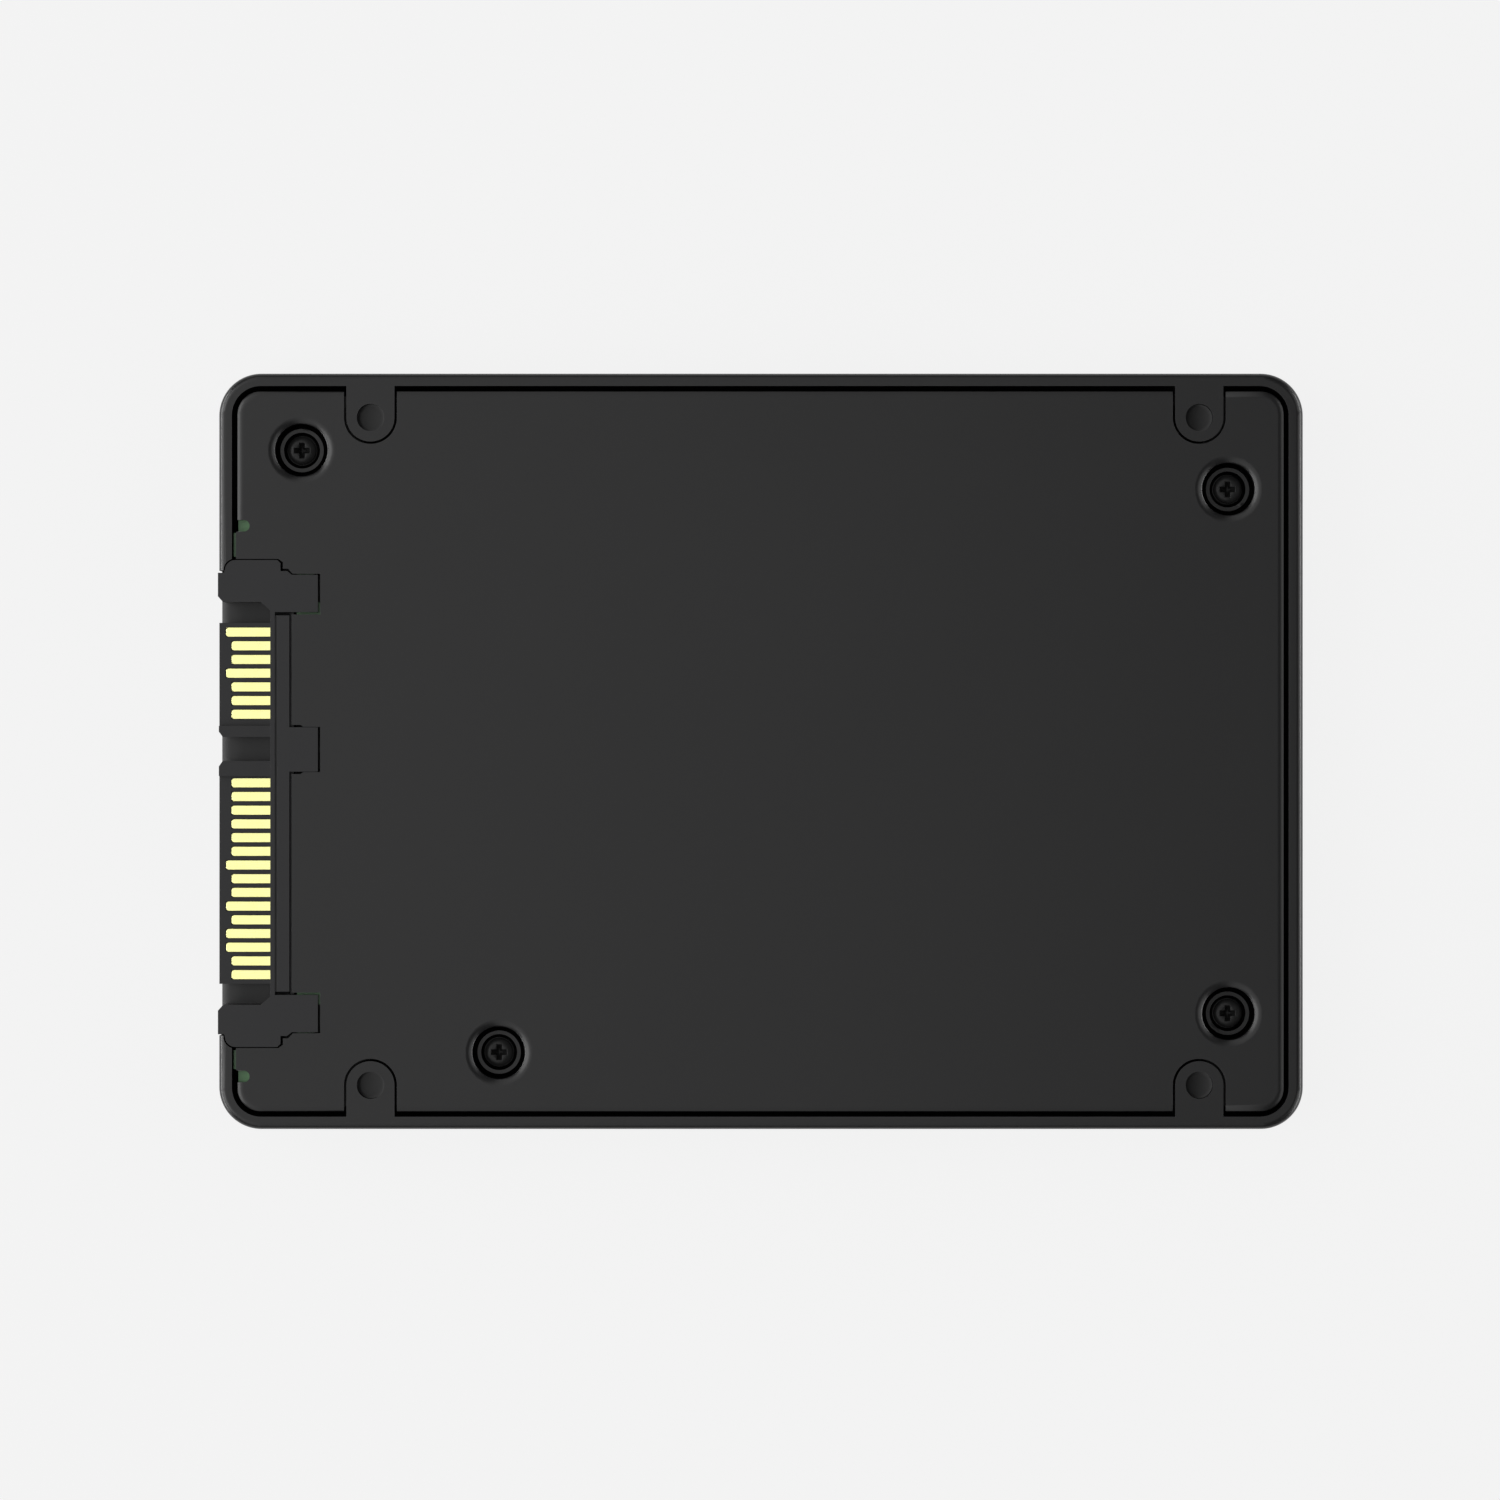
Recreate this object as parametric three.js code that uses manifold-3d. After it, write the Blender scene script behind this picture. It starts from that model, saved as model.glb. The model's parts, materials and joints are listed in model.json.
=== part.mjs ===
// A 2.5-inch, 7 mm high SATA solid state drive, lying label side down.
// Millimetres, +Z up. The connector is at -X, the screwed bottom cover faces +Z,
// and z = 0 is the label face. X and Y are measured from the centre of the body.
import * as THREE from 'three';
import { mergeVertices } from 'three/addons/utils/BufferGeometryUtils.js';
import Module from 'manifold-3d';

const wasm = await Module();
wasm.setup();

// ---- body, after the 2.5-inch drive standard
const LENGTH = 100.2;
const WIDTH = 69.85;
const HEIGHT = 7;
const CORNER_RADIUS = 3.9;
const OUTER_ROUND = 0.65;
const BASE_THICKNESS = 1;
const BASE_EDGE = [0.8, 0.26];
const FRONT_WALL = 1.19;
const REAR_WALL = 1.33;
const SIDE_WALL = 1.15;
const CAVITY_RADIUS = 2.7;
const CAVITY_FOOT = 0.8;
const FRONT = -LENGTH / 2;
const REAR = LENGTH / 2;
const SIDE = WIDTH / 2;

// ---- threaded mounting holes, measured from the connector end of the body
const MOUNT_FROM_FRONT = [14, 90.6];
const MOUNT_SPACING_Y = 61.72;
const MOUNT_HOLE_RADIUS = 1.27;
const MOUNT_HOLE_DEPTH = 2;
const MOUNT_HOLE_DISH = 0.045;
const SIDE_HOLE_BELOW_COVER_FACE = 3;
const SIDE_HOLE_DEPTH = 2.3;
const TAB_RADIUS = 2.22;
const TAB_GAP = 0.23;

// ---- bottom cover
const COVER_THICKNESS = 0.9;
const COVER_EDGE = 0.57;
const COVER_EDGE_SLOPE = THREE.MathUtils.degToRad(28);
const COVER_GROOVE = 0.52;
const COVER_GROOVE_REAR = 0.47;
const COVER_CORNER = 2.1;
const COVER_X0 = FRONT + FRONT_WALL + COVER_GROOVE;
const COVER_X1 = REAR - REAR_WALL - COVER_GROOVE_REAR;
const COVER_Y = SIDE - SIDE_WALL - COVER_GROOVE;
const COVER_UNDERSIDE = HEIGHT - COVER_THICKNESS;
const FLANGE_REACH = 0.14;
const FLANGE_X = COVER_X0 - FLANGE_REACH;
const VIEW_NOTCH_RADIUS = 0.53;
const VIEW_NOTCH_DEPTH = 1.12;
const VIEW_NOTCH_Y = [20.85, -30.05];
const FLANGE_Y = [[17.4, 20.28], [-29.48, -27.1]];

// ---- cover screws and their sunk seats
const SCREW_PLACES = [
  [-42.5, 27.85],
  [43.2, 24.25],
  [43.2, -24.25],
  [-24.25, -27.85],
];
const SEAT_Z = 3.9;
const CUP_RADIUS = 3.2;
const CUP_BOTTOM = 3.1;
const RECESS_RADIUS = 2.45;
const RECESS_LIP = 0.7;
const RECESS_LIP_SLOPE = THREE.MathUtils.degToRad(36);
const SEAT_GROOVE_DEPTH = 0.45;
const COLLAR_OUTER = 2.01;
const COLLAR_INNER = 1.67;
const COLLAR_TOP = 5;
const SCREW_HEAD_RADIUS = 1.32;
const SCREW_HEAD_TOP = 5.1;
const SCREW_FLAT_RADIUS = 0.68;
const SCREW_SHOULDER_SLOPE = THREE.MathUtils.degToRad(42);
const SCREW_THREAD_RADIUS = 0.74;
const SCREW_CORE_RADIUS = 0.56;
const SCREW_TIP_Z = 1.4;
const SCREW_TIP_RADIUS = 0.34;
const SCREW_TIP_LENGTH = 0.2;
const SCREW_PITCH = 0.55;
const CROSS_ARM = 0.72;
const CROSS_WIDTH = 0.5;
const CROSS_CORE = 0.4;
const CROSS_DEPTH = 1.6;
const CROSS_TAPER_RADIUS = 0.84;
const SCREW_HOLE_RADIUS = 0.9;
const BOSS_RADIUS = 2.4;
const BOSS_TOP = 3.05;
const PILOT_RADIUS = 0.8;
const PILOT_FLOOR = BASE_THICKNESS + 0.2;

// ---- connector: 7 signal and 15 power contacts on two L-keyed tongues
const CONNECTOR_Y = -4.82;
const CONNECTOR_FRONT = FRONT - 0.1;
const CONNECTOR_TOP = HEIGHT - 0.05;
const CONNECTOR_BOTTOM = BASE_THICKNESS + 0.05;
const WING_OUTER = 22.51;
const WING_INNER = 18.62;
const WING_NOSE = [19.15, 21.33];
const WING_NOSE_BACK = -49.6;
const WING_CORNER = [-48.6, 21.55];
const WING_CORNER_RADIUS = 0.96;
const WING_BACK = -44.41;
const WING_CHAMFER = 0.3;
const WING_NOSE_CHAMFER = 0.47;
const WING_ROOT_CHAMFER = [0.9, 0.75];
const SHOULDER_LENGTH = 0.61;
const SHOULDER_SLOPE_LENGTH = 0.43;
const SHOULDER_WIDTH = 0.35;
const WALL_FRONT = -45.36;
const WALL_GROOVE = [-44.94, -44.7];
const WALL_GROOVE_DEPTH = 0.35;
const WALL_BACK = -43.59;
const WALL_FOOT_BACK = -43.24;
const WALL_FOOT_TOP = 5.4;
const HEEL_BACK = -40.96;
const HEEL_OUTER = [17.69, 21.14];
const HEEL_MIDDLE = [2.94, 7.05];
const MIDDLE_OPEN_TO = -42.55;
const HEEL_SLOT_WIDTH = 0.3;
const HEEL_SLOT_DEPTH = 1.1;
const TONGUE_BACK_Z = 2.88;
const TONGUE_FACE_Z = 4.11;
const TONGUE_END = 16.73;
const SIGNAL_KEY = [6.15, 7.18];
const POWER_KEY = [2.54, 3.93];
const KEY_TOP_Z = 5.2;
const KEY_CHAMFER = [0.36, 0.5];
const CONNECTOR_GAP = 0.22;
const WING_SIDE_GAP = 0.1;
const MIDDLE_TIGHT_GAP = 0.04;
const WINDOW_GAP = 0.13;
const OVERLAP = 0.3;

// ---- contacts
const PITCH = 1.27;
const SIGNAL_COUNT = 7;
const POWER_COUNT = 15;
const SIGNAL_FIRST = 15.875;
const POWER_FIRST = 1.905;
const LONG_SIGNAL = [1, 4];
const LONG_POWER = [7, 10, 12, 13];
const CONTACT_WIDTH = 0.85;
const CONTACT_THICKNESS = 0.2;
const CONTACT_PROUD = 0.05;
const CONTACT_SHORT_TIP = -49.05;
const CONTACT_LONG_TIP = -49.56;
const CONTACT_WIDE_END = -45.37;
const TAIL_WIDTH = 0.45;
const TAIL_END = -41.9;
const CONTACT_TIP_ROUND = 0.24;
const CONTACT_CLEARANCE = 0.05;

// ---- circuit board
const BOARD_BOTTOM = 4.4;
const BOARD_TOP = 6;
const BOARD_X0 = -47;
const BOARD_EARS = [
  [-48.36, 20.1, 21.6],
  [-48.8, 17.5, 20.2],
  [-48.36, -30.8, -29.3],
  [-48.8, -29.4, -27.2],
];
const BOARD_X1 = 13;
const BOARD_Y = 32.4;
const BOARD_CORNER = 1;
const BOARD_CLEARANCE = 0.3;
const HEEL_MARGIN = 0.6;
const HEEL_RELIEF = 0.4;
const HEEL_RELIEF_START = 18.6;
const LOCK_RADIUS = 0.45;
const LOCK_HOLE_GAP = 0.1;
const LOCK_HEAD = 0.35;
const LOCK_CHAMFER = 0.2;
const SUPPORT_POSTS = [[10.5, 29.8], [10.5, -29.8], [-18, 30], [-46.2, -29.8]];
const SUPPORT_RADIUS = 1.4;
const PART_GAP = 0.05;

// ---- face label
const LABEL_MARGIN = 4;
const LABEL_POCKET = 0.25;
const LABEL_THICKNESS = 0.15;
const LABEL_CORNER = 2;
const LABEL_GAP = 0.4;
const LABEL_SUNK = 0.02;

// ---- colours and surfaces
const SURFACES = {
  shell: { color: 0x2c2c2e, roughness: 0.5, metalness: 0.3 },
  screw: { color: 0x1b1b1c, roughness: 0.35, metalness: 0.8 },
  plug: { color: 0x202022, roughness: 0.45, metalness: 0 },
  gold: { color: 0xe6c878, roughness: 0.3, metalness: 1 },
  board: { color: 0x2f5a37, roughness: 0.5, metalness: 0 },
  package: { color: 0x18181a, roughness: 0.6, metalness: 0 },
  ferrite: { color: 0x4a4a4c, roughness: 0.7, metalness: 0.1 },
  ceramic: { color: 0xa58c6a, roughness: 0.6, metalness: 0 },
  tin: { color: 0xc4c6c8, roughness: 0.3, metalness: 1 },
  pad: { color: 0x8d99a8, roughness: 0.9, metalness: 0 },
  label: { color: 0xb4b6b8, roughness: 0.5, metalness: 0 },
};

const drive = new THREE.Group();
drive.position.x = (FRONT - CONNECTOR_FRONT) / 2;

function addNode(name, geometry, surface) {
  const material = new THREE.MeshStandardMaterial(SURFACES[surface]);
  const mesh = new THREE.Mesh(geometry, material);
  mesh.name = name;
  drive.add(mesh);
  return mesh;
}

// ---- shapes

function roundedRect(x0, x1, y0, y1, radius) {
  const shape = new THREE.Shape();
  shape.moveTo(x0 + radius, y0);
  shape.lineTo(x1 - radius, y0);
  shape.absarc(x1 - radius, y0 + radius, radius, -Math.PI / 2, 0, false);
  shape.lineTo(x1, y1 - radius);
  shape.absarc(x1 - radius, y1 - radius, radius, 0, Math.PI / 2, false);
  shape.lineTo(x0 + radius, y1);
  shape.absarc(x0 + radius, y1 - radius, radius, Math.PI / 2, Math.PI, false);
  shape.lineTo(x0, y0 + radius);
  shape.absarc(x0 + radius, y0 + radius, radius, Math.PI, Math.PI * 1.5, false);
  return shape;
}

function polygon(points) {
  return new THREE.Shape(points.map(([x, y]) => new THREE.Vector2(x, y)));
}

function slab(shape, z0, z1, curveSegments = 8) {
  const options = { depth: z1 - z0, bevelEnabled: false, curveSegments };
  return new THREE.ExtrudeGeometry(shape, options).translate(0, 0, z0);
}

// A slab whose top and bottom edges fall by `drop` over their last `ease` of width.
function easedSlab(shape, z0, z1, { ease, drop = ease, steps = 1, curveSegments = 8 }) {
  const options = {
    depth: z1 - z0 - 2 * drop,
    bevelEnabled: true,
    bevelThickness: drop,
    bevelSize: ease,
    bevelOffset: -ease,
    bevelSegments: steps,
    curveSegments,
  };
  return new THREE.ExtrudeGeometry(shape, options).translate(0, 0, z0 + drop);
}

function block(x0, x1, y0, y1, z0, z1) {
  const box = new THREE.BoxGeometry(x1 - x0, y1 - y0, z1 - z0);
  return box.translate((x0 + x1) / 2, (y0 + y1) / 2, (z0 + z1) / 2);
}

// A vertical cylinder.
function post(x, y, radius, z0, z1, sides = 24) {
  const cylinder = new THREE.CylinderGeometry(radius, radius, z1 - z0, sides);
  return cylinder.rotateX(Math.PI / 2).translate(x, y, (z0 + z1) / 2);
}

// A solid of revolution about a vertical axis, from [radius, z] points, lowest first.
function turned(x, y, profile, sides = 32) {
  const points = profile.map(([radius, z]) => new THREE.Vector2(radius, z));
  return new THREE.LatheGeometry(points, sides).rotateX(Math.PI / 2).translate(x, y, 0);
}

// ---- solids: joining and cutting

function toSolid(geometry) {
  const bare = geometry.clone();
  bare.deleteAttribute('normal');
  bare.deleteAttribute('uv');
  const merged = mergeVertices(bare, 1e-4);
  const index = merged.index.array;
  const kept = [];
  for (let i = 0; i < index.length; i += 3) {
    const [a, b, c] = [index[i], index[i + 1], index[i + 2]];
    if (a !== b && b !== c && c !== a) kept.push(a, b, c);
  }
  const mesh = new wasm.Mesh({
    numProp: 3,
    vertProperties: new Float32Array(merged.getAttribute('position').array),
    triVerts: new Uint32Array(kept),
  });
  return new wasm.Manifold(mesh);
}

function toGeometry(solid) {
  const mesh = solid.getMesh();
  const geometry = new THREE.BufferGeometry();
  geometry.setAttribute('position', new THREE.BufferAttribute(mesh.vertProperties, 3));
  geometry.setIndex(new THREE.BufferAttribute(mesh.triVerts, 1));
  geometry.computeVertexNormals();
  return geometry;
}

function join(solid, geometries) {
  return geometries.reduce((sum, geometry) => sum.add(toSolid(geometry)), solid);
}

function cut(solid, geometries) {
  return geometries.reduce((sum, geometry) => sum.subtract(toSolid(geometry)), solid);
}

// ---- places that several parts share

const mountPlaces = MOUNT_FROM_FRONT.flatMap((distance) => [
  [FRONT + distance, MOUNT_SPACING_Y / 2],
  [FRONT + distance, -MOUNT_SPACING_Y / 2],
]);

// A mounting tab's outline: a half round end and straight sides out to `reach`.
function tabShape([x, y], radius, reach) {
  const outward = Math.sign(y);
  const shape = new THREE.Shape();
  shape.moveTo(x - radius, outward * reach);
  shape.lineTo(x - radius, y);
  shape.absarc(x, y, radius, Math.PI, 0, outward < 0);
  shape.lineTo(x + radius, outward * reach);
  return shape;
}

// The connector's rear outline, seen from the cover side, grown by a gap. The gap is
// `sideGap` along the wings, and beside the middle heel it narrows to `tight`.
function connectorRear(gap, sideGap, tight, frontX) {
  const [heelIn, heelOut] = HEEL_OUTER;
  const [middleLow, middleHigh] = HEEL_MIDDLE;
  const back = HEEL_BACK + gap;
  const mitre = gap * Math.tan(Math.PI / 8);
  const shoulder = heelOut + SHOULDER_WIDTH;
  const shoulderEnd = WING_BACK + SHOULDER_LENGTH + mitre;
  const upper = [
    [frontX, WING_OUTER + sideGap],
    [WING_BACK - WING_CHAMFER + mitre, WING_OUTER + sideGap],
    [WING_BACK + gap, WING_OUTER - WING_CHAMFER + mitre],
    [WING_BACK + gap, shoulder + gap],
    [shoulderEnd, shoulder + gap],
    [shoulderEnd + SHOULDER_SLOPE_LENGTH, heelOut + sideGap],
    [back, heelOut + sideGap],
    [back, heelIn - gap],
    [WALL_BACK + gap, heelIn - gap],
  ];
  const middle = [
    [WALL_BACK + gap, middleHigh + gap],
    [MIDDLE_OPEN_TO, middleHigh + gap],
    [MIDDLE_OPEN_TO + gap, middleHigh + tight],
    [back, middleHigh + tight],
    [back, middleLow - tight],
    [MIDDLE_OPEN_TO + gap, middleLow - tight],
    [MIDDLE_OPEN_TO, middleLow - gap],
    [WALL_BACK + gap, middleLow - gap],
  ];
  const lower = upper.map(([x, s]) => [x, -s]).reverse();
  const outline = [...upper, ...middle, ...lower];
  return polygon(outline.map(([x, s]) => [x, CONNECTOR_Y + s]).reverse());
}

// ---- casing

function makeTopHousing() {
  const outer = roundedRect(FRONT, REAR, -SIDE, SIDE, CORNER_RADIUS);
  const cavity = roundedRect(
    FRONT + FRONT_WALL, REAR - REAR_WALL, -SIDE + SIDE_WALL, SIDE - SIDE_WALL, CAVITY_RADIUS,
  );
  const labelShape = roundedRect(
    FRONT + LABEL_MARGIN, REAR - LABEL_MARGIN, -SIDE + LABEL_MARGIN, SIDE - LABEL_MARGIN, LABEL_CORNER,
  );
  const outerEdge = { ease: OUTER_ROUND, steps: 4, curveSegments: 12 };
  let housing = toSolid(easedSlab(outer, 0, HEIGHT, outerEdge));
  housing = cut(housing, [
    easedSlab(cavity, BASE_THICKNESS, HEIGHT + 2, { ease: CAVITY_FOOT }),
    slab(labelShape, -1, LABEL_POCKET, 4),
  ]);
  const tabReach = SIDE - SIDE_WALL / 2;
  const inside = BASE_THICKNESS / 2;
  housing = join(housing, [
    ...mountPlaces.map((place) => slab(tabShape(place, TAB_RADIUS, tabReach), inside, HEIGHT, 20)),
    ...SCREW_PLACES.map(([x, y]) => post(x, y, BOSS_RADIUS, inside, BOSS_TOP, 16)),
    ...SUPPORT_POSTS.map(([x, y]) => post(x, y, SUPPORT_RADIUS, inside, BOARD_BOTTOM - PART_GAP, 12)),
  ]);
  const sideHoleZ = HEIGHT - SIDE_HOLE_BELOW_COVER_FACE;
  const sideHoles = mountPlaces.map(([x, y]) => {
    const hole = new THREE.CylinderGeometry(MOUNT_HOLE_RADIUS, MOUNT_HOLE_RADIUS, 2 * SIDE_HOLE_DEPTH, 20);
    return hole.translate(x, Math.sign(y) * SIDE, sideHoleZ);
  });
  return cut(housing, [
    ...mountPlaces.map(([x, y]) => mountHole(x, y)),
    ...sideHoles,
    ...SCREW_PLACES.map(([x, y]) => post(x, y, PILOT_RADIUS, PILOT_FLOOR, BOSS_TOP + 1, 12)),
    connectorWindow(),
    baseEdge(),
  ]);
}

// A blind hole with a slightly dished floor.
function mountHole(x, y) {
  const lowest = HEIGHT - MOUNT_HOLE_DEPTH - MOUNT_HOLE_DISH;
  const rings = 4;
  const profile = [];
  for (let i = 0; i <= rings; i += 1) {
    const share = i / rings;
    profile.push([MOUNT_HOLE_RADIUS * share, lowest + MOUNT_HOLE_DISH * share * share]);
  }
  profile.push([MOUNT_HOLE_RADIUS, HEIGHT + 1], [0, HEIGHT + 1]);
  return turned(x, y, profile);
}

// The opening in the front wall. Its ends follow the rounded corners of the connector.
function connectorWindow() {
  const [cornerX, cornerS] = WING_CORNER;
  const radius = WING_CORNER_RADIUS + WINDOW_GAP;
  const nose = WING_NOSE[1] + WINDOW_GAP;
  const outside = FRONT - 1;
  const inside = FRONT + FRONT_WALL + CAVITY_FOOT + WINDOW_GAP;
  const top = CONNECTOR_Y + cornerS;
  const bottom = CONNECTOR_Y - cornerS;
  const shape = new THREE.Shape();
  shape.moveTo(outside, CONNECTOR_Y - nose);
  shape.lineTo(cornerX - radius, CONNECTOR_Y - nose);
  shape.absarc(cornerX, bottom, radius, Math.PI, Math.PI * 1.5, false);
  shape.lineTo(inside, bottom - radius);
  shape.lineTo(inside, top + radius);
  shape.absarc(cornerX, top, radius, Math.PI / 2, Math.PI, false);
  shape.lineTo(outside, CONNECTOR_Y + nose);
  return slab(shape, BASE_THICKNESS, HEIGHT + 1, 6);
}

// The base slopes down to its front edge below the connector.
function baseEdge() {
  const [width, drop] = BASE_EDGE;
  const profile = polygon([
    [FRONT - width, BASE_THICKNESS + drop],
    [FRONT - width, BASE_THICKNESS - 2 * drop],
    [FRONT + width, BASE_THICKNESS],
    [FRONT + width, BASE_THICKNESS + drop],
  ]);
  const length = 2 * WING_NOSE[1];
  const wedge = new THREE.ExtrudeGeometry(profile, { depth: length, bevelEnabled: false });
  return wedge.rotateX(Math.PI / 2).translate(0, CONNECTOR_Y + WING_NOSE[1], 0);
}

// A wider slab with quarter-round edges. Where the cover's outline crosses those edges,
// only their shallow upper part is left on the cover.
function coverCrown() {
  const arc = COVER_EDGE / Math.sin(COVER_EDGE_SLOPE);
  const grow = arc - COVER_EDGE;
  const shape = roundedRect(
    COVER_X0 - grow, COVER_X1 + grow, -COVER_Y - grow, COVER_Y + grow, COVER_CORNER + grow,
  );
  const edge = { ease: arc, steps: 16, curveSegments: 10 };
  return easedSlab(shape, COVER_UNDERSIDE - 2 * arc, HEIGHT, edge);
}

function makeBottomCover() {
  const outline = roundedRect(COVER_X0, COVER_X1, -COVER_Y, COVER_Y, COVER_CORNER);
  let cover = toSolid(slab(outline, COVER_UNDERSIDE, HEIGHT, 10)).intersect(toSolid(coverCrown()));
  cover = join(cover, [
    ...FLANGE_Y.map(([y0, y1]) => block(FLANGE_X, FLANGE_X + 1, y0, y1, COVER_UNDERSIDE, HEIGHT)),
    ...SCREW_PLACES.map(([x, y]) => post(x, y, CUP_RADIUS, CUP_BOTTOM, COVER_UNDERSIDE + OVERLAP, 20)),
  ]);
  cover = cut(cover, SCREW_PLACES.map(([x, y]) => turned(x, y, recessProfile(), 40)));
  cover = join(cover, SCREW_PLACES.map(([x, y]) => collar(x, y)));
  const connectorOpening = connectorRear(CONNECTOR_GAP, WING_SIDE_GAP, MIDDLE_TIGHT_GAP, FRONT);
  return cut(cover, [
    ...SCREW_PLACES.map(([x, y]) => post(x, y, SCREW_HOLE_RADIUS, CUP_BOTTOM - 1, SEAT_Z + 1, 16)),
    ...mountPlaces.map((place) => (
      slab(tabShape(place, TAB_RADIUS + TAB_GAP, SIDE), COVER_UNDERSIDE - 1, HEIGHT + 1, 20)
    )),
    ...VIEW_NOTCH_Y.map((y) => viewNotch(y)),
    slab(connectorOpening, COVER_UNDERSIDE - 1, HEIGHT + 1),
  ]);
}

// The sunk seat around a cover screw: a straight bore below a shallow rounded lip.
// A groove with sloped sides runs round the seat on each side of the collar.
function recessProfile() {
  const steps = 6;
  const grooveZ = SEAT_Z - SEAT_GROOVE_DEPTH;
  const seatEdge = SCREW_HEAD_RADIUS + PART_GAP;
  const profile = [
    [0, SEAT_Z],
    [seatEdge, SEAT_Z],
    [(seatEdge + COLLAR_INNER) / 2, grooveZ],
    [COLLAR_INNER, SEAT_Z],
    [COLLAR_OUTER, SEAT_Z],
    [(COLLAR_OUTER + RECESS_RADIUS) / 2, grooveZ],
    [RECESS_RADIUS, SEAT_Z],
  ];
  const lipRadius = RECESS_RADIUS + RECESS_LIP;
  const curve = RECESS_LIP / Math.sin(RECESS_LIP_SLOPE);
  for (let i = 0; i <= steps; i += 1) {
    const slope = RECESS_LIP_SLOPE * (1 - i / steps);
    profile.push([lipRadius - curve * Math.sin(slope), HEIGHT - curve * (1 - Math.cos(slope))]);
  }
  profile.push([lipRadius, HEIGHT + 1], [0, HEIGHT + 1]);
  return profile;
}

// The raised ring that surrounds the screw head.
function collar(x, y) {
  const foot = SEAT_Z - SEAT_GROOVE_DEPTH / 4;
  return turned(x, y, [
    [COLLAR_INNER, foot],
    [COLLAR_OUTER, foot],
    [COLLAR_OUTER, COLLAR_TOP],
    [COLLAR_INNER, COLLAR_TOP],
    [COLLAR_INNER, foot],
  ], 40);
}

function viewNotch(y) {
  const tipX = COVER_X0 + VIEW_NOTCH_DEPTH;
  const centreX = tipX - VIEW_NOTCH_RADIUS;
  const shape = new THREE.Shape();
  shape.moveTo(COVER_X0 - 1, y - VIEW_NOTCH_RADIUS);
  shape.lineTo(centreX, y - VIEW_NOTCH_RADIUS);
  shape.absarc(centreX, y, VIEW_NOTCH_RADIUS, -Math.PI / 2, Math.PI / 2, false);
  shape.lineTo(COVER_X0 - 1, y + VIEW_NOTCH_RADIUS);
  return slab(shape, COVER_UNDERSIDE - 1, HEIGHT + 1, 10);
}

// A pan head screw with a cross recess and thread ridges on its shank.
function makeCoverScrew([x, y]) {
  const profile = [[0, SCREW_TIP_Z], [SCREW_TIP_RADIUS, SCREW_TIP_Z]];
  const seat = SEAT_Z + PART_GAP / 2;
  for (let z = SCREW_TIP_Z + SCREW_TIP_LENGTH; z < seat - SCREW_PITCH; z += SCREW_PITCH) {
    profile.push([SCREW_CORE_RADIUS, z], [SCREW_THREAD_RADIUS, z + SCREW_PITCH / 2]);
  }
  profile.push([SCREW_CORE_RADIUS, seat - SCREW_PITCH / 2], [SCREW_CORE_RADIUS, seat]);
  profile.push([SCREW_HEAD_RADIUS, seat]);
  const shoulder = (SCREW_HEAD_RADIUS - SCREW_FLAT_RADIUS) / Math.sin(SCREW_SHOULDER_SLOPE);
  const steps = 5;
  for (let i = 0; i <= steps; i += 1) {
    const slope = SCREW_SHOULDER_SLOPE * (1 - i / steps);
    const radius = SCREW_FLAT_RADIUS + shoulder * Math.sin(slope);
    profile.push([radius, SCREW_HEAD_TOP - shoulder * (1 - Math.cos(slope))]);
  }
  profile.push([0, SCREW_HEAD_TOP]);
  const screw = toSolid(turned(x, y, profile, 28));
  return toGeometry(screw.subtract(crossRecess(x, y)));
}

// Four arms whose floors slope steeply down to the middle, for a cross-head driver.
function crossRecess(x, y) {
  const floor = SCREW_HEAD_TOP - CROSS_DEPTH;
  const arm = CROSS_ARM;
  const half = CROSS_WIDTH / 2;
  const core = CROSS_CORE;
  const cross = join(toSolid(block(x - arm, x + arm, y - half, y + half, floor, HEIGHT)), [
    block(x - half, x + half, y - arm, y + arm, floor, HEIGHT),
    turned(x, y, [[0, floor], [core, floor], [core, HEIGHT], [0, HEIGHT]], 4),
  ]);
  const taper = turned(x, y, [
    [0, floor],
    [CROSS_TAPER_RADIUS, SCREW_HEAD_TOP],
    [CROSS_TAPER_RADIUS, HEIGHT],
    [0, HEIGHT],
  ], 16);
  return cross.intersect(toSolid(taper));
}

function makeFaceLabel() {
  const margin = LABEL_MARGIN + LABEL_GAP;
  const shape = roundedRect(
    FRONT + margin, REAR - margin, -SIDE + margin, SIDE - margin, LABEL_CORNER - LABEL_GAP,
  );
  const top = LABEL_POCKET - LABEL_SUNK;
  return slab(shape, top - LABEL_THICKNESS, top, 4);
}

// ---- connector

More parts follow.
